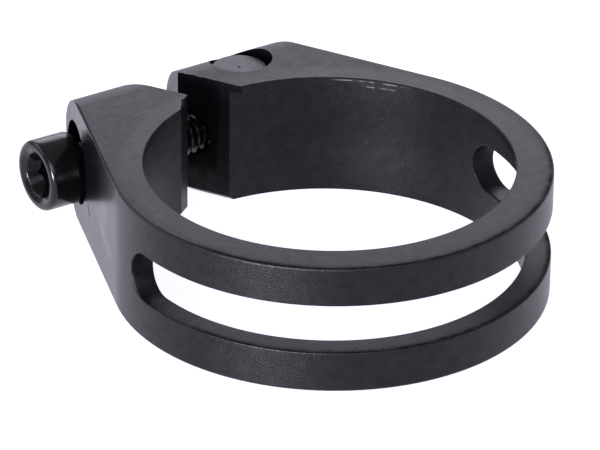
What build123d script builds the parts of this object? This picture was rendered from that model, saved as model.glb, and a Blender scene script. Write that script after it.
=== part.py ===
from build123d import *
from build123d.topology import SkipClean
import math
import os

os.makedirs("parts", exist_ok=True)

# Frame: +Z is the bore axis, z = 0 is the lower face. +X runs along the screw
# from its head towards the nut, +Y runs from the bore axis out to the ears.

# ---- band ----
HEIGHT = 12.5            # height of the band
R_BORE = 18.2            # bore for a 36.4 mm tube
R_LIP = 17.15            # inner radius of the lip at the top of the bore
LIP_H = 0.85             # height of the lip
R_OUT = 20.37            # outer radius of the band
OUT_Y = -0.38            # centre of the outside, which is thicker opposite the ears
EDGE_TOP = 0.25          # rounded edge round the outside, top
EDGE_BOTTOM = 0.32       # and bottom
LIP_EDGE = 0.08          # edge break at the mouth of the lip
LIP_GAP_CUT = 0.25       # the lip's gap is cut this far past the bore wall

# ---- ears ----
END_Y = 27.29            # end of both ears, from the bore axis
END_AZ = 90.8            # direction the end looks
END_R_TOP = 5.5          # rounding of that end at the top
END_R_BOTTOM = 6.4       # and at the bottom
NEAR_AZ = 161.4          # direction the near ear's outer face looks
FAR_AZ = 28.6            # direction the far ear's outer face looks
CORNER_NEAR = 0.5        # upright corner, near ear, outer face to end
CORNER_FAR = 4.5         # upright corner, far ear, outer face to end

# ---- slit ----
SLIT_AZ = 30.0           # direction the slit's walls look
SLIT_NEAR = 5.65         # distance of the near wall from the bore axis
SLIT_FAR = 9.62          # distance of the far wall from the bore axis
TIP_X = -2.2             # blunt tip of the far ear, where it leaves the slit
TIP_AZ = 163.5           # direction the blunt tip looks
NEAR_FLAT_BORE = 1.56    # flat across the near ear's corner, taken off the bore wall
NEAR_FLAT_SLIT = 0.57    # and off the slit's wall
NEAR_FLAT_EDGE = 0.6     # edge break under that flat
FAR_BORE_R = 0.2         # slit to bore, far ear
SLIT_EDGE = 0.4          # edge break along the bottom of the slit

# ---- lightening slot ----
SLOT_Z0 = 3.97
SLOT_Z1 = 8.72
SLOT_A0 = 182.6          # centre of the round end, near ear side
SLOT_A1 = 360.2          # centre of the round end, far ear side
SLOT_TILT = -13.0        # the ends are cut at this angle to the radius
SLOT_EDGE = 0.15         # rounded edges of the slot

# ---- screw, nut and their holes ----
SCREW_Y = 22.35          # screw axis from the bore axis
SCREW_Z = 5.97           # the loose screw lies low in its clearance hole
HOLE_Z = HEIGHT / 2      # height of the holes for it
SCREW_R = 1.96           # thread, over the crests
SCREW_LEN = 20.0         # under the head
HEAD_R = 3.43
HEAD_H = 4.0
HEAD_X = -14.35          # underside of the head
HEX_AF = 3.0
HEX_DEPTH = 3.0
DISH_R = 2.7             # hollow of the head's front round the socket
DISH_H = 0.3
CLEAR_R = 2.4            # clearance hole through both ears
SEAT_X = -11.0           # floor of the counterbore
CBORE_R = 4.0
BLIND_X = 8.3            # end of the drilled hole past the nut
NUT_X = 4.27             # nut axis, drawn against the slit side of its hole
NUT_R = 2.85
NUT_HOLE_X = 4.44
NUT_HOLE_R = 3.04
NUT_Z0 = 1.2
NUT_Z1 = 11.55
NUT_CHAMFER = 0.3
NUT_THREAD_R = 2.0


def unit(az):
    return math.cos(math.radians(az)), math.sin(math.radians(az))


def end_corner(az):
    """Where the upright plane that looks towards az and touches the ring meets the ears' end."""
    c, s = unit(az)
    ec, es = unit(END_AZ)
    d = R_OUT + s * OUT_Y
    det = c * es - s * ec
    return ((d * es - s * END_Y) / det, (c * END_Y - d * ec) / det)


def x_cylinder(r, x0, x1, y=SCREW_Y, z=SCREW_Z):
    return Pos((x0 + x1) / 2, y, z) * Rot(0, 90, 0) * Cylinder(r, x1 - x0)


# Outline seen from above: the ring's arc, then both ears out to the end.
nx, ny = unit(NEAR_AZ)
fx, fy = unit(FAR_AZ)
p_near = (R_OUT * nx, OUT_Y + R_OUT * ny)
p_far = (R_OUT * fx, OUT_Y + R_OUT * fy)
a_near = end_corner(NEAR_AZ)
a_far = end_corner(FAR_AZ)
with BuildSketch() as outline:
    with BuildLine():
        ThreePointArc(p_near, (0, OUT_Y - R_OUT), p_far)
        Line(p_far, a_far)
        Line(a_far, a_near)
        Line(a_near, p_near)
    make_face()
    fillet(outline.vertices().sort_by_distance((a_near[0], a_near[1], 0))[0], CORNER_NEAR)
    fillet(outline.vertices().sort_by_distance((a_far[0], a_far[1], 0))[0], CORNER_FAR)

solid = extrude(outline.sketch, HEIGHT)
solid = fillet([e for e in solid.edges() if abs(e.center().Z - HEIGHT) < 1e-6], EDGE_TOP)
solid = fillet([e for e in solid.edges() if abs(e.center().Z) < 1e-6], EDGE_BOTTOM)

# Round the ears' end at top and bottom.
band = solid
for r, z, out in ((END_R_TOP, HEIGHT, 1), (END_R_BOTTOM, 0, -1)):
    with BuildSketch(Plane.YZ) as corner:
        with BuildLine():
            c45 = r * math.sqrt(0.5)
            ThreePointArc((END_Y - r, z), (END_Y - r + c45, z - out * (r - c45)), (END_Y, z - out * r))
            Polyline((END_Y, z - out * r), (END_Y + 3, z - out * r), (END_Y + 3, z + out * 3),
                     (END_Y - r, z + out * 3), (END_Y - r, z))
        make_face()
    band -= Rot(0, 0, END_AZ - 90) * extrude(corner.sketch, 60, both=True)

# Slit, slanted, cut through to the bore. Its corners at the bore are rounded.
cx, cy = unit(SLIT_AZ)


def slit_point(n, u):
    """Point at distance n from the bore axis across the slit, u along it."""
    return (n * cx - u * cy, n * cy + u * cx)


band -= Pos(0, 0, HEIGHT / 2) * Cylinder(R_BORE, HEIGHT + 2)
slit_face = make_face(Polyline((SLIT_NEAR - SLIT_EDGE - 1, -1), (SLIT_FAR + SLIT_EDGE + 1, -1),
                               (SLIT_FAR, SLIT_EDGE), (SLIT_FAR, HEIGHT + 1),
                               (SLIT_NEAR, HEIGHT + 1), (SLIT_NEAR, SLIT_EDGE), close=True))
slit_plane = Plane(origin=(*slit_point(0, 12), 0), x_dir=(cx, cy, 0), z_dir=(cy, -cx, 0))
slit = extrude(slit_plane * slit_face, -28)
band -= slit
far_corner = slit_point(SLIT_FAR, math.sqrt(R_BORE ** 2 - SLIT_FAR ** 2))
uprights = band.edges().filter_by(Axis.Z)
band = fillet(uprights.sort_by_distance((*far_corner, HEIGHT / 2))[0], FAR_BORE_R)

# Flat across the near ear's corner, with an edge break under it.
near_u = math.sqrt(R_BORE ** 2 - SLIT_NEAR ** 2)
near_corner = slit_point(SLIT_NEAR, near_u)
flat_az = math.atan2(near_corner[1], near_corner[0]) + NEAR_FLAT_BORE / R_BORE
fa = (R_BORE * math.cos(flat_az), R_BORE * math.sin(flat_az))
fb = slit_point(SLIT_NEAR, near_u + NEAR_FLAT_SLIT)
flat_len = math.hypot(fb[0] - fa[0], fb[1] - fa[1])
dx, dy = (fb[0] - fa[0]) / flat_len, (fb[1] - fa[1]) / flat_len
flat = make_face(Polyline((fa[0] - 0.3 * dx, fa[1] - 0.3 * dy), (fb[0] + 0.3 * dx, fb[1] + 0.3 * dy),
                          (near_corner[0] + 0.6, near_corner[1] - 0.6), close=True))
band -= Pos(0, 0, -1) * extrude(flat, HEIGHT + 2)
under = Plane(origin=(fa[0] - 0.5 * dx, fa[1] - 0.5 * dy, 0), x_dir=(-dy, dx, 0), z_dir=(dx, dy, 0))
break_face = make_face(Polyline((-0.2, -0.2), (NEAR_FLAT_EDGE + 0.2, -0.2), (-0.2, NEAR_FLAT_EDGE + 0.2), close=True))
band -= extrude(under * break_face, flat_len + 1)

# Lip round the top of the bore. It runs up to the slit on the far side and
# stops short of it on the near side.
lip = Pos(0, 0, HEIGHT - LIP_H / 2) * (Cylinder(R_BORE + 0.4, LIP_H) - Cylinder(R_LIP, LIP_H))
lip = chamfer(lip.edges().filter_by(GeomType.CIRCLE).filter_by(
    lambda e: abs(e.radius - R_LIP) < 1e-6 and e.center().Z > HEIGHT - 0.01), LIP_EDGE)
lip_gap = make_face(Polyline((-7.3, 14.4), (-5.15, 17.55), (-5.15, 21), slit_point(SLIT_FAR, 21),
                             slit_point(SLIT_FAR, 9), close=True))
gap_cut = extrude(lip_gap, 4)
lip -= Pos(0, 0, HEIGHT - 2) * gap_cut
band += lip
band -= (Pos(0, 0, HEIGHT - LIP_H / 2) * Cylinder(R_BORE + LIP_GAP_CUT, LIP_H)) & (Pos(0, 0, HEIGHT - 2) * gap_cut)

# Blunt tip of the far ear.
tx, ty = unit(TIP_AZ)
tip_y = (SLIT_FAR - cx * TIP_X) / cy
tip_dist = TIP_X * tx + tip_y * ty


def tip_point(n, u):
    return (n * tx + u * ty, n * ty - u * tx)


tip_face = make_face(Polyline(tip_point(tip_dist, 10), tip_point(tip_dist, 40),
                              tip_point(tip_dist + 6, 40), tip_point(tip_dist + 6, 10), close=True))
far_face = make_face(Polyline(slit_point(SLIT_FAR - 0.5, 8), slit_point(SLIT_FAR + 6, 8),
                              slit_point(SLIT_FAR + 6, 40), slit_point(SLIT_FAR - 0.5, 40), close=True))
tip_cut = extrude(tip_face, HEIGHT + 2) & extrude(far_face, HEIGHT + 2)
band -= Pos(0, 0, -1) * tip_cut

# Lightening slot, round ended, cut square to the wall.
slot_zc = (SLOT_Z0 + SLOT_Z1) / 2
slot_r = (SLOT_Z1 - SLOT_Z0) / 2
ring = Pos(0, 0, slot_zc) * (Cylinder(R_OUT + 2, 2 * slot_r) - Cylinder(R_BORE - 2, 2 * slot_r))
slot_mid = (R_OUT + R_BORE) / 2


def slot_end(a, u):
    """Point on the axis of the slot's round end at azimuth a, u out from the middle of the wall."""
    c, s = unit(a)
    tc, ts = unit(a + SLOT_TILT)
    return (slot_mid * c + u * tc, slot_mid * s + u * ts)


sector_pts = [slot_end(SLOT_A0, -6), slot_end(SLOT_A0, 30)]
sector_pts += [(60 * math.cos(math.radians(a)), 60 * math.sin(math.radians(a))) for a in (215, 250, 290, 325)]
sector_pts += [slot_end(SLOT_A1, 30), slot_end(SLOT_A1, -6)]
sector = extrude(make_face(Polyline(*sector_pts, close=True)), HEIGHT)
slot = ring & sector
for a in (SLOT_A0, SLOT_A1):
    slot += (Pos(*slot_end(a, 0), slot_zc) * Rot(0, 0, a + SLOT_TILT) * Rot(0, 90, 0)
             * Cylinder(slot_r, R_OUT - R_BORE + 4))
band -= slot
slot_rim = [e for e in band.edges()
            if e.bounding_box().min.Z > SLOT_Z0 - 0.01 and e.bounding_box().max.Z < SLOT_Z1 + 0.01
            and (abs(math.hypot((e @ 0.5).X, (e @ 0.5).Y - OUT_Y) - R_OUT) < 0.01
                 or abs(math.hypot(*tuple(e @ 0.5)[:2]) - R_BORE) < 0.01)]
band = fillet(slot_rim, SLOT_EDGE)

# Screw holes, counterbore and the upright nut hole.
band -= x_cylinder(CLEAR_R, -40, BLIND_X, z=HOLE_Z)
band -= x_cylinder(CBORE_R, -40, SEAT_X, z=HOLE_Z)
band -= Pos(NUT_HOLE_X, SCREW_Y, HEIGHT / 2) * Cylinder(NUT_HOLE_R, HEIGHT + 2)
band = band.clean()

# The bore wall is kept as a lower and an upper face, which meet at the middle of the slot.
below = Pos(0, 0, slot_zc - 30) * Box(120, 120, 60)
lower = band & below
upper = band - below
with SkipClean():
    band = lower.fuse(upper)

# ---- screw ----
head = x_cylinder(HEAD_R, HEAD_X - HEAD_H, HEAD_X)
front = [e for e in head.edges().filter_by(GeomType.CIRCLE) if e.center().X < HEAD_X - HEAD_H / 2]
head = fillet(front, 0.5)
front_x = HEAD_X - HEAD_H
hexa = RegularPolygon(HEX_AF / 2, 6, major_radius=False)
hexa = Pos(front_x, SCREW_Y, SCREW_Z) * Rot(0, 90, 0) * Rot(0, 0, 12) * extrude(hexa, HEX_DEPTH)
cone = Pos(front_x + DISH_H + 0.6, SCREW_Y, SCREW_Z) * Rot(0, 90, 0) * Cone(2.2, 1.5, 1.2)
dish = Pos(front_x + DISH_H / 2, SCREW_Y, SCREW_Z) * Rot(0, 90, 0) * Cone(DISH_R, 2.2, DISH_H)
drill = Pos(front_x + HEX_DEPTH + 0.25, SCREW_Y, SCREW_Z) * Rot(0, 90, 0) * Cone(1.3, 0.2, 0.5)
shank = x_cylinder(SCREW_R, HEAD_X, HEAD_X + SCREW_LEN)
tip_edge = [e for e in shank.edges().filter_by(GeomType.CIRCLE) if e.center().X > 0]
shank = chamfer(tip_edge, 0.4)
screw = (head + shank) - hexa - dish - cone - drill
screw = screw.clean()

# ---- nut ----
nut = Pos(NUT_X, SCREW_Y, (NUT_Z0 + NUT_Z1) / 2) * Cylinder(NUT_R, NUT_Z1 - NUT_Z0)
nut = chamfer(nut.edges().filter_by(GeomType.CIRCLE), NUT_CHAMFER)
nut -= x_cylinder(NUT_THREAD_R, -5, 15)
for z, s in ((NUT_Z1, 0), (NUT_Z0, 180)):
    nut -= Pos(NUT_X, SCREW_Y, z) * Rot(s, 0, 0) * Pos(0, 0, -0.05) * Cone(0.05, 0.18, 0.1)
nut = nut.clean()

for name, shape in (("clamp_band", band), ("clamp_screw", screw), ("barrel_nut", nut)):
    part = shape.solids()
    print(name, len(part), [round(s.volume, 2) for s in part], shape.is_valid,
          [round(v, 2) for v in (*shape.bounding_box().min, *shape.bounding_box().max)])
    export_step(part[0] if len(part) == 1 else shape, f"parts/{name}.step")
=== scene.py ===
import math
import bpy
import bmesh
from mathutils import Matrix, Vector


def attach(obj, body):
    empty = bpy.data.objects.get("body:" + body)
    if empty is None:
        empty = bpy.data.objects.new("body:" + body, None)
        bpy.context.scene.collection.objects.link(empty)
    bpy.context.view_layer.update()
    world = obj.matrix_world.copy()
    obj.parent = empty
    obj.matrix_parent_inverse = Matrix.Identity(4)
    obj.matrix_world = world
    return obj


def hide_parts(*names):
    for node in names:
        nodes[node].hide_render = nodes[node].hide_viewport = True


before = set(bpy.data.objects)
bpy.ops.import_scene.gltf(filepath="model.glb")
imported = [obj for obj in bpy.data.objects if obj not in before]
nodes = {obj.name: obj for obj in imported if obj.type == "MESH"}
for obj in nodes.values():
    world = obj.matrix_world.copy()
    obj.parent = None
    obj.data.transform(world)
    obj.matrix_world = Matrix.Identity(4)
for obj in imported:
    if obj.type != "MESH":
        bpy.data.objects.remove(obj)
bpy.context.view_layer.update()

MM = 0.001
scene = bpy.context.scene

# screw and nut, in millimetres, in the part's frame
SCREW_Y, SCREW_Z = 22.35, 5.97
FRONT_X, HEAD_X, TIP_X = -18.35, -14.35, 5.65
HEAD_R, SOCKET_R, HEX_AF, HEX_DEPTH = 3.43, 2.2, 3.0, 3.0
DISH_R, DISH_H = 2.7, 0.3
CREST_R, ROOT_R, PITCH = 1.96, 1.53, 0.7
NUT_X = 4.27

# scratches and painted reflections on the band's walls: a painted bright streak, painted light and shade round the
# head's reflection, and scratches: from, to, half width in millimetres, change of gloss
RUBS_AND_REFLECTIONS = (
    ((-16.6, 14.1, 5.9), (-17.4, 11.7, 4.9), 0.70, 0.16),
    ((-17.4, 11.7, 4.9), (-18.4, 8.9, 4.1), 1.00, 0.24),
    ((-15.4, 17.6, 4.4), (-15.6, 17.0, 3.6), 0.18, -0.45),
    ((-16.0, 16.0, 6.9), (-16.1, 15.6, 6.3), 0.18, 0.60),
    ((-17.35, 11.9, 12.2), (-17.5, 11.4, 7.4), 2.40, 0.26),
    ((-15.6, 17.1, 11.4), (-15.7, 16.8, 6.8), 1.30, -0.12),
)
# places where painted highlight sparkle shows in the key light's sheen on the walls: centre, radius and fade in
# millimetres, amount
HIGHLIGHT_SPARKLE = (
    ((12.98, 12.76, 8.75), 1.5, 4.0, 0.060),
    ((13.34, 12.38, 6.0), 1.5, 4.0, 0.050),
    ((-15.4, -13.7, 10.2), 1.0, 3.0, 0.012),
    ((-14.8, -14.4, 1.9), 1.5, 3.5, 0.018),
)
# rubbed places and painted glints on the band's edges: centre, radius and fade in millimetres, amount
WEAR_AND_GLINTS = (
    ((0.5, 17.2, 12.5), 0.35, 0.3, 1.0),
    ((-17.4, -10.2, 12.4), 0.6, 0.8, 0.8),
    ((-15.1, -13.2, 12.4), 0.9, 0.8, 0.6),
    ((-12.9, -15.8, 12.4), 1.1, 0.9, 0.7),
    ((-15.9, -13.2, 3.9), 1.2, 1.0, 0.5),
    ((-13.6, -16.4, 3.9), 1.0, 1.0, 0.6),
    ((-1.0, 21.4, 12.5), 1.1, 0.8, 0.7),
    ((0.1, 18.9, 12.5), 1.2, 0.6, 0.7),
)

# ---------------------------------------------------------------- node helpers
def new_material(name):
    m = bpy.data.materials.new(name)
    m.use_nodes = True
    m.node_tree.nodes.clear()
    out = m.node_tree.nodes.new("ShaderNodeOutputMaterial")
    bsdf = m.node_tree.nodes.new("ShaderNodeBsdfPrincipled")
    m.node_tree.links.new(bsdf.outputs["BSDF"], out.inputs["Surface"])
    return m, m.node_tree, bsdf


def put(sock, value, nt):
    if isinstance(value, bpy.types.NodeSocket):
        nt.links.new(value, sock)
    else:
        sock.default_value = value


def math_node(nt, op, a, b=0.0, c=0.0, clamp=False):
    n = nt.nodes.new("ShaderNodeMath")
    n.operation = op
    n.use_clamp = clamp
    for i, v in enumerate((a, b, c)):
        put(n.inputs[i], v, nt)
    return n.outputs[0]


def ramp(nt, fac, lo, hi, out_lo=0.0, out_hi=1.0, smooth=True):
    n = nt.nodes.new("ShaderNodeMapRange")
    n.interpolation_type = "SMOOTHSTEP" if smooth else "LINEAR"
    put(n.inputs["Value"], fac, nt)
    n.inputs["From Min"].default_value = lo
    n.inputs["From Max"].default_value = hi
    n.inputs["To Min"].default_value = out_lo
    n.inputs["To Max"].default_value = out_hi
    return n.outputs["Result"]


def noise(nt, coord, scale, detail=2.0, rough=0.5, distortion=0.0):
    n = nt.nodes.new("ShaderNodeTexNoise")
    nt.links.new(coord, n.inputs["Vector"])
    n.inputs["Scale"].default_value = scale
    n.inputs["Detail"].default_value = detail
    n.inputs["Roughness"].default_value = rough
    n.inputs["Distortion"].default_value = distortion
    return n.outputs["Fac"]


def mix_colour(nt, fac, a, b):
    n = nt.nodes.new("ShaderNodeMix")
    n.data_type = "RGBA"
    put(n.inputs[0], fac, nt)
    put(n.inputs[6], a, nt)
    put(n.inputs[7], b, nt)
    return n.outputs[2]


def bump(nt, height, strength, distance, normal=None):
    n = nt.nodes.new("ShaderNodeBump")
    n.inputs["Strength"].default_value = strength
    n.inputs["Distance"].default_value = distance
    nt.links.new(height, n.inputs["Height"])
    if normal is not None:
        nt.links.new(normal, n.inputs["Normal"])
    return n.outputs["Normal"]


def edge_mask(nt, radius, lo, hi):
    """1 on the convex edges within the radius, 0 on the flats."""
    bev = nt.nodes.new("ShaderNodeBevel")
    bev.samples = 8
    bev.inputs["Radius"].default_value = radius
    geo = nt.nodes.new("ShaderNodeNewGeometry")
    dot = nt.nodes.new("ShaderNodeVectorMath")
    dot.operation = "DOT_PRODUCT"
    nt.links.new(bev.outputs["Normal"], dot.inputs[0])
    nt.links.new(geo.outputs["Normal"], dot.inputs[1])
    return ramp(nt, dot.outputs["Value"], hi, lo)


def near(nt, coord, centre, radius, soft):
    """1 inside a sphere round a point of the part, in millimetres, fading out over soft."""
    d = nt.nodes.new("ShaderNodeVectorMath")
    d.operation = "DISTANCE"
    nt.links.new(coord, d.inputs[0])
    d.inputs[1].default_value = [c * MM for c in centre]
    return ramp(nt, d.outputs["Value"], (radius + soft) * MM, radius * MM)


def segment_distance(nt, coord, start, end):
    """Distance from a straight line between two points of the part, in millimetres."""
    a, e = Vector(start) * MM, Vector(end) * MM
    along = (e - a).normalized()
    rel = nt.nodes.new("ShaderNodeVectorMath")
    rel.operation = "SUBTRACT"
    nt.links.new(coord, rel.inputs[0])
    rel.inputs[1].default_value = a
    dot = nt.nodes.new("ShaderNodeVectorMath")
    dot.operation = "DOT_PRODUCT"
    nt.links.new(rel.outputs[0], dot.inputs[0])
    dot.inputs[1].default_value = along
    t = math_node(nt, "MINIMUM", math_node(nt, "MAXIMUM", dot.outputs["Value"], 0.0), (e - a).length)
    foot = nt.nodes.new("ShaderNodeVectorMath")
    foot.operation = "SCALE"
    foot.inputs[0].default_value = along
    nt.links.new(t, foot.inputs["Scale"])
    gap = nt.nodes.new("ShaderNodeVectorMath")
    gap.operation = "DISTANCE"
    nt.links.new(rel.outputs[0], gap.inputs[0])
    nt.links.new(foot.outputs[0], gap.inputs[1])
    return gap.outputs["Value"]


def object_coord(nt):
    t = nt.nodes.new("ShaderNodeTexCoord")
    return t.outputs["Object"]


# ---------------------------------------------------------------- materials
def band_material():
    m, nt, b = new_material("anodised_aluminium")
    co = object_coord(nt)
    grain = noise(nt, co, 7500.0, 3.0, 0.55)
    mottle = noise(nt, co, 900.0, 3.0, 0.55)
    cloud = noise(nt, co, 120.0, 2.0, 0.5)
    sep = nt.nodes.new("ShaderNodeSeparateXYZ")
    nt.links.new(co, sep.inputs[0])
    geo = nt.nodes.new("ShaderNodeNewGeometry")
    gsep = nt.nodes.new("ShaderNodeSeparateXYZ")
    nt.links.new(geo.outputs["Normal"], gsep.inputs[0])
    # distance from the outside's axis, and how squarely a wall faces that axis
    yc = math_node(nt, "ADD", sep.outputs[1], 0.38 * MM)
    r = math_node(nt, "SQRT", math_node(nt, "ADD", math_node(nt, "MULTIPLY", sep.outputs[0], sep.outputs[0]),
                                        math_node(nt, "MULTIPLY", yc, yc)))
    radial = math_node(nt, "ABSOLUTE", math_node(nt, "DIVIDE", math_node(
        nt, "ADD", math_node(nt, "MULTIPLY", sep.outputs[0], gsep.outputs[0]),
        math_node(nt, "MULTIPLY", yc, gsep.outputs[1])), r))
    upright = ramp(nt, math_node(nt, "ABSOLUTE", gsep.outputs[2]), 0.5, 0.2)
    flank = math_node(nt, "MULTIPLY", upright, ramp(nt, sep.outputs[1], 4.0 * MM, 8.0 * MM))
    flank = math_node(nt, "MULTIPLY", flank, ramp(nt, r, 19.4 * MM, 20.0 * MM))
    turned = math_node(nt, "MULTIPLY", upright, ramp(nt, radial, 0.90, 0.97))
    turned = math_node(nt, "MULTIPLY", turned, math_node(nt, "SUBTRACT", 1.0, flank))

    tone = math_node(nt, "MULTIPLY_ADD", grain, 0.5, math_node(nt, "MULTIPLY", mottle, 0.5))
    base = mix_colour(nt, ramp(nt, tone, 0.32, 0.68),
                      (0.0022, 0.0021, 0.0027, 1.0), (0.0040, 0.0039, 0.0047, 1.0))
    # bare metal where the coat is rubbed through, in patches along the edges, mixed with painted highlights: the
    # listed patches on the front top and slot edges and at the far lip corner are painted glints of the key light
    edge = edge_mask(nt, 0.16 * MM, 0.80, 0.985)
    speck = ramp(nt, noise(nt, co, 2600.0, 4.0, 0.62), 0.50, 0.60)
    patches = None
    for centre, radius, soft, amount in WEAR_AND_GLINTS:
        w = math_node(nt, "MULTIPLY", near(nt, co, centre, radius, soft), amount)
        patches = w if patches is None else math_node(nt, "MAXIMUM", patches, w)
    sparse = ramp(nt, noise(nt, co, 260.0, 2.0, 0.5), 0.60, 0.72, 0.0, 0.35)
    patches = math_node(nt, "MAXIMUM", patches, sparse)
    wear_and_glints = math_node(nt, "MULTIPLY", math_node(nt, "MULTIPLY", edge, speck), patches, clamp=True)
    # painted highlight: thin bright dashes on the lip's wall, at two heights on one side
    rb = math_node(nt, "SQRT", math_node(nt, "ADD", math_node(nt, "MULTIPLY", sep.outputs[0], sep.outputs[0]),
                                         math_node(nt, "MULTIPLY", sep.outputs[1], sep.outputs[1])))
    lip = math_node(nt, "MULTIPLY", ramp(nt, sep.outputs[2], 12.17 * MM, 12.22 * MM), ramp(nt, sep.outputs[2], 12.33 * MM, 12.28 * MM))
    lip = math_node(nt, "MULTIPLY", lip, near(nt, co, (12.1, 11.6, 12.2), 2.6, 1.4))
    low = math_node(nt, "MULTIPLY", ramp(nt, sep.outputs[2], 11.60 * MM, 11.66 * MM), ramp(nt, sep.outputs[2], 11.80 * MM, 11.74 * MM))
    low = math_node(nt, "MULTIPLY", low, near(nt, co, (13.0, 11.2, 11.7), 0.8, 1.2))
    lip = math_node(nt, "MULTIPLY", math_node(nt, "MAXIMUM", lip, low), ramp(nt, rb, 17.24 * MM, 17.19 * MM))
    lip = math_node(nt, "MULTIPLY", lip, ramp(nt, noise(nt, co, 1100.0, 3.0, 0.65), 0.42, 0.56, 0.0, 0.50))
    wear_and_glints = math_node(nt, "MAXIMUM", wear_and_glints, lip)
    # painted highlight: bright sparkle dots where the key light's sheen falls on the walls
    sparkle_dots = ramp(nt, noise(nt, co, 3600.0, 1.0, 0.4), 0.66, 0.74)
    where = None
    for centre, radius, soft, amount in HIGHLIGHT_SPARKLE:
        w = math_node(nt, "MULTIPLY", near(nt, co, centre, radius, soft), amount)
        where = w if where is None else math_node(nt, "MAXIMUM", where, w)
    wear_and_glints = math_node(nt, "MAXIMUM", wear_and_glints, math_node(nt, "MULTIPLY", sparkle_dots, math_node(nt, "MULTIPLY", where, upright)))
    # the light colour of bare metal, used both for real rubbed edges and for painted highlights
    col = mix_colour(nt, wear_and_glints, base, (0.26, 0.26, 0.28, 1.0))
    nt.links.new(col, b.inputs["Base Color"])
    b.inputs["IOR"].default_value = 1.31
    # turned walls of the ring: the sheen stretches along the bore axis
    nt.links.new(math_node(nt, "MULTIPLY", turned, 0.72), b.inputs["Anisotropic"])
    b.inputs["Anisotropic Rotation"].default_value = 0.25
    # the flat flanks of the ears are smoother than the rest
    rough = ramp(nt, cloud, 0.25, 0.75, 0.315, 0.335)
    nt.links.new(math_node(nt, "MULTIPLY_ADD", flank, -0.10, rough), b.inputs["Roughness"])
    # painted shade: the specular level drops a little towards the outer edge of the top, on walls cut across the ring
    # and on the flanks
    outer = math_node(nt, "MULTIPLY", ramp(nt, gsep.outputs[2], 0.85, 0.97), ramp(nt, r, 18.6 * MM, 20.3 * MM))
    spec = math_node(nt, "MULTIPLY_ADD", ramp(nt, tone, 0.3, 0.7, -0.09, 0.09), 1.0, 0.5)
    spec = math_node(nt, "MULTIPLY_ADD", outer, -0.14, spec)
    cut = math_node(nt, "MULTIPLY", upright, ramp(nt, radial, 0.88, 0.72))
    cut = math_node(nt, "MULTIPLY", cut, ramp(nt, sep.outputs[0], 14.0 * MM, 10.0 * MM))
    spec = math_node(nt, "MULTIPLY_ADD", math_node(nt, "MAXIMUM", math_node(nt, "MULTIPLY", flank, 0.75), cut), -0.27, spec)
    # painted shade: the top darkens into the rounded outer edge of the ring, on its front
    verge = math_node(nt, "MULTIPLY", ramp(nt, gsep.outputs[2], 0.85, 0.97), ramp(nt, r, 19.55 * MM, 20.15 * MM))
    verge = math_node(nt, "MULTIPLY", verge, ramp(nt, sep.outputs[1], -3.0 * MM, -9.0 * MM))
    spec = math_node(nt, "MULTIPLY_ADD", verge, -0.30, spec)
    # painted light: the rounded outer edge of the top is lightened, away from the ears
    turn = math_node(nt, "MULTIPLY", ramp(nt, gsep.outputs[2], 0.10, 0.30), ramp(nt, gsep.outputs[2], 0.97, 0.85))
    turn = math_node(nt, "MULTIPLY", turn, math_node(nt, "MULTIPLY", ramp(nt, r, 19.95 * MM, 20.1 * MM),
                                                     ramp(nt, sep.outputs[1], 9.0 * MM, 6.0 * MM)))
    spec = math_node(nt, "MULTIPLY_ADD", turn, 0.25, spec)
    # painted shade: less specular on the rounded edge above the near ear's flank
    brink = math_node(nt, "MULTIPLY", ramp(nt, gsep.outputs[2], 0.15, 0.35), ramp(nt, gsep.outputs[2], 0.97, 0.88))
    brink = math_node(nt, "MULTIPLY", brink, math_node(nt, "MULTIPLY", ramp(nt, sep.outputs[1], 5.0 * MM, 9.0 * MM),
                                                       ramp(nt, sep.outputs[0], -8.0 * MM, -9.0 * MM)))
    spec = math_node(nt, "MULTIPLY_ADD", brink, -0.30, spec)
    # painted reflections and scratches along the listed lines on the flanks
    for start, end, radius, amount in RUBS_AND_REFLECTIONS:
        d = segment_distance(nt, co, start, end)
        rub_and_reflection = math_node(nt, "MULTIPLY", ramp(nt, d, radius * MM, radius * 0.35 * MM), flank)
        spec = math_node(nt, "MULTIPLY_ADD", rub_and_reflection, amount, spec)
    nt.links.new(math_node(nt, "MAXIMUM", spec, 0.0), b.inputs["Specular IOR Level"])
    tan = nt.nodes.new("ShaderNodeTangent")
    tan.direction_type = "RADIAL"
    tan.axis = "Z"
    nt.links.new(tan.outputs[0], b.inputs["Tangent"])
    # blasted grain, fainter on the flanks and on the top
    calm = math_node(nt, "MULTIPLY_ADD", flank, -0.8, 1.0)
    calm = math_node(nt, "MULTIPLY_ADD", ramp(nt, gsep.outputs[2], 0.85, 0.97), -0.35, calm)
    fine = math_node(nt, "MULTIPLY", grain, calm)
    nt.links.new(bump(nt, fine, 0.75, 0.060 * MM), b.inputs["Normal"])
    return m


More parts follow.
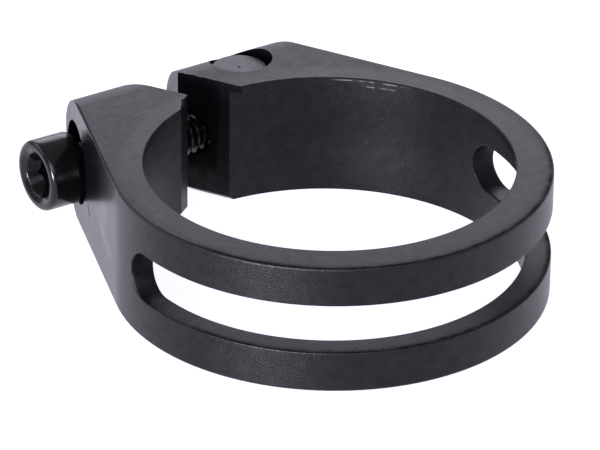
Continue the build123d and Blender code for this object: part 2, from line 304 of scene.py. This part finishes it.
def screw_material():
    m, nt, b = new_material("black_oxide_steel")
    co = object_coord(nt)
    grain = noise(nt, co, 4200.0, 2.0, 0.5)
    cloud = noise(nt, co, 420.0, 3.0, 0.55)
    base = mix_colour(nt, ramp(nt, cloud, 0.3, 0.7),
                      (0.0012, 0.0012, 0.0014, 1.0), (0.0026, 0.0025, 0.0028, 1.0))
    edge = edge_mask(nt, 0.10 * MM, 0.85, 0.99)
    speck = ramp(nt, noise(nt, co, 3000.0, 3.0, 0.6), 0.56, 0.64)
    wear_and_glints = math_node(nt, "MULTIPLY", edge, speck, clamp=True)
    col = mix_colour(nt, math_node(nt, "MULTIPLY", wear_and_glints, 0.25), base, (0.22, 0.22, 0.23, 1.0))
    nt.links.new(col, b.inputs["Base Color"])
    nt.links.new(ramp(nt, cloud, 0.25, 0.75, 0.15, 0.24), b.inputs["Roughness"])
    b.inputs["IOR"].default_value = 1.40
    # painted shade: the specular level is turned down in the socket; the shank's is lower than the head's
    ssub = nt.nodes.new("ShaderNodeVectorMath")
    ssub.operation = "SUBTRACT"
    nt.links.new(co, ssub.inputs[0])
    ssub.inputs[1].default_value = (0.0, SCREW_Y * MM, SCREW_Z * MM)
    ssep = nt.nodes.new("ShaderNodeSeparateXYZ")
    nt.links.new(ssub.outputs[0], ssep.inputs[0])
    sr = math_node(nt, "SQRT", math_node(nt, "ADD", math_node(nt, "MULTIPLY", ssep.outputs[1], ssep.outputs[1]),
                                         math_node(nt, "MULTIPLY", ssep.outputs[2], ssep.outputs[2])))
    socket_shade = math_node(nt, "MULTIPLY", ramp(nt, sr, 2.17 * MM, 2.10 * MM),
                       ramp(nt, ssep.outputs[0], (HEAD_X - 0.6) * MM, (HEAD_X - 0.7) * MM))
    thread = ramp(nt, ssep.outputs[0], (HEAD_X + 0.3) * MM, (HEAD_X + 0.6) * MM, 0.5, 0.36)
    nt.links.new(math_node(nt, "MULTIPLY_ADD", socket_shade, -0.28, thread), b.inputs["Specular IOR Level"])
    nt.links.new(bump(nt, grain, 0.12, 0.015 * MM), b.inputs["Normal"])
    return m


def nut_material():
    m, nt, b = new_material("satin_steel")
    co = object_coord(nt)
    grain = noise(nt, co, 4200.0, 2.0, 0.5)
    # turning marks: rings round the nut's own axis
    sub = nt.nodes.new("ShaderNodeVectorMath")
    sub.operation = "SUBTRACT"
    nt.links.new(co, sub.inputs[0])
    sub.inputs[1].default_value = (NUT_X * MM, SCREW_Y * MM, 0.0)
    sep = nt.nodes.new("ShaderNodeSeparateXYZ")
    nt.links.new(sub.outputs[0], sep.inputs[0])
    r2 = math_node(nt, "ADD", math_node(nt, "MULTIPLY", sep.outputs[0], sep.outputs[0]),
                   math_node(nt, "MULTIPLY", sep.outputs[1], sep.outputs[1]))
    r = math_node(nt, "SQRT", r2)
    rings = math_node(nt, "SINE", math_node(nt, "MULTIPLY", r, 2 * math.pi / (0.16 * MM)))
    tone = math_node(nt, "MULTIPLY_ADD", rings, 0.12, grain)
    base = mix_colour(nt, ramp(nt, tone, 0.3, 0.7),
                      (0.009, 0.009, 0.010, 1.0), (0.018, 0.018, 0.019, 1.0))
    nt.links.new(base, b.inputs["Base Color"])
    nt.links.new(ramp(nt, grain, 0.3, 0.7, 0.34, 0.46), b.inputs["Roughness"])
    b.inputs["IOR"].default_value = 1.5
    nt.links.new(bump(nt, tone, 0.25, 0.015 * MM), b.inputs["Normal"])
    return m


# ---------------------------------------------------------------- screw
def socket_radius(phi):
    flat = math.radians(12.0)
    d = (phi - flat + math.pi / 6) % (math.pi / 3) - math.pi / 6
    return HEX_AF / 2 / math.cos(d)


def screw_mesh():
    bm = bmesh.new()
    n = 120

    def at(x, r, phi):
        return bm.verts.new(((x) * MM, (SCREW_Y + r * math.cos(phi)) * MM, (SCREW_Z + r * math.sin(phi)) * MM))

    phis = [math.radians(12.0 + 30.0) + 2 * math.pi * j / n for j in range(n)]
    ring_list = []

    def ring(fx, fr):
        ring_list.append([at(fx(p) if callable(fx) else fx, fr(p) if callable(fr) else fr, p) for p in phis])

    # drill point, hex floor and walls
    ring(FRONT_X + HEX_DEPTH + 0.5, 0.2)
    ring(FRONT_X + HEX_DEPTH, 1.3)
    ring(FRONT_X + HEX_DEPTH, lambda p: socket_radius(p) - 0.06)
    ring(FRONT_X + HEX_DEPTH - 0.06, lambda p: socket_radius(p))

    def mouth(r):
        return FRONT_X + DISH_H + (SOCKET_R - r) * 1.2 / 0.7

    ring(lambda p: mouth(socket_radius(p)) + 0.05, lambda p: socket_radius(p))
    ring(lambda p: mouth(socket_radius(p)), lambda p: socket_radius(p) + 0.03)
    ring(mouth(1.9), 1.9)
    ring(mouth(2.16), 2.16)
    ring(FRONT_X + DISH_H + 0.012, 2.19)
    ring(FRONT_X + DISH_H - 0.025, 2.24)
    ring(FRONT_X + 0.15, 2.45)
    ring(FRONT_X + 0.03, 2.65)
    ring(FRONT_X + 0.008, 2.70)
    ring(FRONT_X, 2.76)
    for k in range(9):
        a = math.pi / 2 * k / 8
        ring(FRONT_X + 0.5 * (1 - math.cos(a)), HEAD_R - 0.5 + 0.5 * math.sin(a))
    ring(FRONT_X + 1.6, HEAD_R)
    ring(FRONT_X + 2.8, HEAD_R)
    ring(HEAD_X - 0.20, HEAD_R)
    ring(HEAD_X - 0.13, HEAD_R - 0.02)
    ring(HEAD_X - 0.02, HEAD_R - 0.13)
    ring(HEAD_X, HEAD_R - 0.2)
    ring(HEAD_X, 2.6)
    for k in range(5):
        a = math.pi / 2 * k / 4
        ring(HEAD_X + 0.22 - 0.22 * math.cos(a), 1.96 + 0.0 + 0.22 - 0.22 * math.sin(a))
    for a, c in zip(ring_list, ring_list[1:]):
        for j in range(n):
            bm.faces.new((a[j], a[(j + 1) % n], c[(j + 1) % n], c[j]))
    bm.faces.new(list(reversed(ring_list[0])))
    last_head = ring_list[-1]

    # thread: a strip of profile points wound along the helix
    x0, x1 = HEAD_X + 0.22, TIP_X
    prof = [(0.0, ROOT_R + 0.02), (0.06, ROOT_R), (0.19, ROOT_R), (0.25, ROOT_R + 0.02),
            (0.545, CREST_R - 0.02), (0.575, CREST_R), (0.665, CREST_R), (0.695, CREST_R - 0.02)]
    per = len(prof)
    turns = int(math.ceil((x1 - x0) / PITCH)) + 2

    def limit(x):
        lim = CREST_R
        if x > x1 - 0.62:
            lim = min(lim, CREST_R - (x - (x1 - 0.62)) * 0.85)
        return lim

    def lowest(x):
        # the thread runs out under the head
        if x < x0 + 0.5:
            return CREST_R - (CREST_R - ROOT_R) * (x - x0) / 0.5
        return 0.0

    rows = []
    for i in range((turns + 1) * per):
        k, s = divmod(i, per)
        row = []
        for j in range(n):
            x = x0 + PITCH * (k - 1 + prof[s][0] + j / n)
            x = min(max(x, x0), x1)
            r = max(min(prof[s][1], limit(x)), lowest(x))
            row.append(at(x, r, phis[j]))
        rows.append(row)
    for i in range(len(rows) - 1):
        for j in range(n - 1):
            quad = (rows[i][j], rows[i][j + 1], rows[i + 1][j + 1], rows[i + 1][j])
            bm.faces.new(quad)
        if i + per + 1 < len(rows):
            bm.faces.new((rows[i][n - 1], rows[i + per][0], rows[i + per + 1][0], rows[i + 1][n - 1]))
    bmesh.ops.remove_doubles(bm, verts=bm.verts, dist=0.0006 * MM)
    bmesh.ops.dissolve_degenerate(bm, edges=bm.edges, dist=0.0006 * MM)
    loose = [v for v in bm.verts if not v.link_faces]
    bmesh.ops.delete(bm, geom=loose, context="VERTS")
    # close the flat tip
    rim = [e for e in bm.edges if e.is_boundary]
    bmesh.ops.holes_fill(bm, edges=rim, sides=0)
    bmesh.ops.recalc_face_normals(bm, faces=bm.faces)
    for f in bm.faces:
        f.smooth = True
    me = bpy.data.meshes.new("cap_screw")
    bm.to_mesh(me)
    open_edges = sum(1 for e in bm.edges if not e.is_manifold)
    bm.free()
    print("screw mesh", len(me.polygons), "faces, open edges", open_edges)
    return me


def add_object(name, me, mat):
    o = bpy.data.objects.new(name, me)
    scene.collection.objects.link(o)
    me.materials.clear()
    me.materials.append(mat)
    return o


def sharp_by_angle(me, degrees):
    """Smooth shading broken at edges sharper than the angle."""
    bm = bmesh.new()
    bm.from_mesh(me)
    lim = math.radians(degrees)
    for e in bm.edges:
        e.smooth = not (len(e.link_faces) == 2 and e.calc_face_angle(0.0) > lim)
    bm.to_mesh(me)
    bm.free()


mat_band, mat_screw, mat_nut = band_material(), screw_material(), nut_material()

for name, mat in (("clamp_band", mat_band), ("barrel_nut", mat_nut)):
    o = nodes[name]
    if o.material_slots:
        for s in o.material_slots:
            s.material = mat
    else:
        o.data.materials.append(mat)

me = screw_mesh()
sharp_by_angle(me, 32)
screw = add_object("cap_screw", me, mat_screw)
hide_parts("clamp_screw")
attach(screw, "screw")

# ---------------------------------------------------------------- floor
bm = bmesh.new()
bmesh.ops.create_grid(bm, x_segments=2, y_segments=2, size=3.0)
floor_me = bpy.data.meshes.new("floor")
bm.to_mesh(floor_me)
bm.free()
floor_mat = bpy.data.materials.new("pale_floor")
floor_mat.use_nodes = True
nt = floor_mat.node_tree
nt.nodes.clear()
out = nt.nodes.new("ShaderNodeOutputMaterial")
dif = nt.nodes.new("ShaderNodeBsdfDiffuse")
dif.inputs["Color"].default_value = (0.30, 0.30, 0.32, 1.0)
emi = nt.nodes.new("ShaderNodeEmission")
emi.inputs["Color"].default_value = (1.0, 1.0, 1.145, 1.0)
add = nt.nodes.new("ShaderNodeAddShader")
fco = nt.nodes.new("ShaderNodeTexCoord")
far_off = nt.nodes.new("ShaderNodeVectorMath")
far_off.operation = "LENGTH"
nt.links.new(fco.outputs["Object"], far_off.inputs[0])
# painted light: the floor glows, brightest within 75 mm of the part and fading to 0.35 by 170 mm
nt.links.new(ramp(nt, far_off.outputs["Value"], 0.075, 0.17, 0.90, 0.35), emi.inputs["Strength"])
nt.links.new(dif.outputs[0], add.inputs[0])
nt.links.new(emi.outputs[0], add.inputs[1])
nt.links.new(add.outputs[0], out.inputs["Surface"])
floor = add_object("floor", floor_me, floor_mat)
floor.location = (0.0, 0.0, -0.00002)

# ---------------------------------------------------------------- light
world = bpy.data.worlds.new("studio")
scene.world = world
world.use_nodes = True
nt = world.node_tree
nt.nodes.clear()
out = nt.nodes.new("ShaderNodeOutputWorld")
bg = nt.nodes.new("ShaderNodeBackground")
bg.inputs["Color"].default_value = (1.0, 1.0, 1.145, 1.0)
bg.inputs["Strength"].default_value = 0.38
nt.links.new(bg.outputs[0], out.inputs["Surface"])

# the camera's own axes, in the part's frame
RIGHT = Vector((0.8366433, -0.5475886, 0.0132163))
DOWN = Vector((-0.2434688, -0.3933855, -0.8865500))
AHEAD = Vector((0.4906638, 0.7385083, -0.4624441))
CAM_AT = Vector((-221.7935, -333.8261, 221.5374)) * MM
FOCAL_PX, PX, PY = 4925.288, 329.921, 160.935

flat_ahead = Vector((AHEAD.x, AHEAD.y, 0.0)).normalized()
flat_right = Vector((flat_ahead.y, -flat_ahead.x, 0.0))


def softbox(name, right, ahead, up, size, radiance, aim=(0.0, 0.0, 0.006)):
    """A rectangular light placed from the camera's side of the part, in metres."""
    l = bpy.data.lights.new(name, "AREA")
    l.shape = "RECTANGLE"
    l.size, l.size_y = size
    l.energy = radiance * math.pi * size[0] * size[1]
    l.color = (1.0, 1.0, 1.145)
    o = bpy.data.objects.new(name, l)
    scene.collection.objects.link(o)
    o.location = flat_right * right + flat_ahead * ahead + Vector((0.0, 0.0, up))
    o.rotation_mode = "QUATERNION"
    o.rotation_quaternion = (Vector(aim) - o.location).to_track_quat("-Z", "Y")
    o.visible_camera = False
    return o


def round_part(az, el, dist):
    """Right, ahead and up of a point round the part: azimuth 0 is behind it, positive to the right."""
    a, e = math.radians(az), math.radians(el)
    return dist * math.cos(e) * math.sin(a), dist * math.cos(e) * math.cos(a), dist * math.sin(e) + 0.006


softbox("back", -0.012, 0.11, 0.0490, (0.14, 0.054), 2.06, tuple(flat_right * -0.012 + Vector((0.0, 0.0, 0.0490))))
softbox("key", *round_part(-150, 5.5, 0.5), (0.17, 0.10), 64.0)
softbox("key_upper", *round_part(-150, 26, 0.5), (0.10, 0.20), 8.0)
softbox("left", *round_part(-75, 30, 0.5), (0.40, 0.20), 1.8)
softbox("right", *round_part(80, 18, 0.5), (0.25, 0.20), 1.5)
softbox("front", *round_part(180, 42, 0.6), (0.70, 0.30), 2.0)

# ---------------------------------------------------------------- camera
ray = RIGHT * ((300.0 - PX) / FOCAL_PX) + DOWN * ((225.0 - PY) / FOCAL_PX) + AHEAD
fwd = ray.normalized()
right = (RIGHT - fwd * RIGHT.dot(fwd)).normalized()
up = right.cross(fwd)
cam = bpy.data.cameras.new("camera")
cam.sensor_fit = "HORIZONTAL"
cam.sensor_width = 36.0
cam.lens = FOCAL_PX / 600.0 * 36.0
cam.clip_start, cam.clip_end = 0.01, 20.0
cam_o = bpy.data.objects.new("camera", cam)
scene.collection.objects.link(cam_o)
rot = Matrix((right, up, -fwd)).transposed()
cam_o.matrix_world = Matrix.Translation(CAM_AT) @ rot.to_4x4()
scene.camera = cam_o

scene.view_settings.view_transform = "Standard"
scene.view_settings.look = "None"
scene.view_settings.exposure = 0.0
scene.view_settings.gamma = 1.0
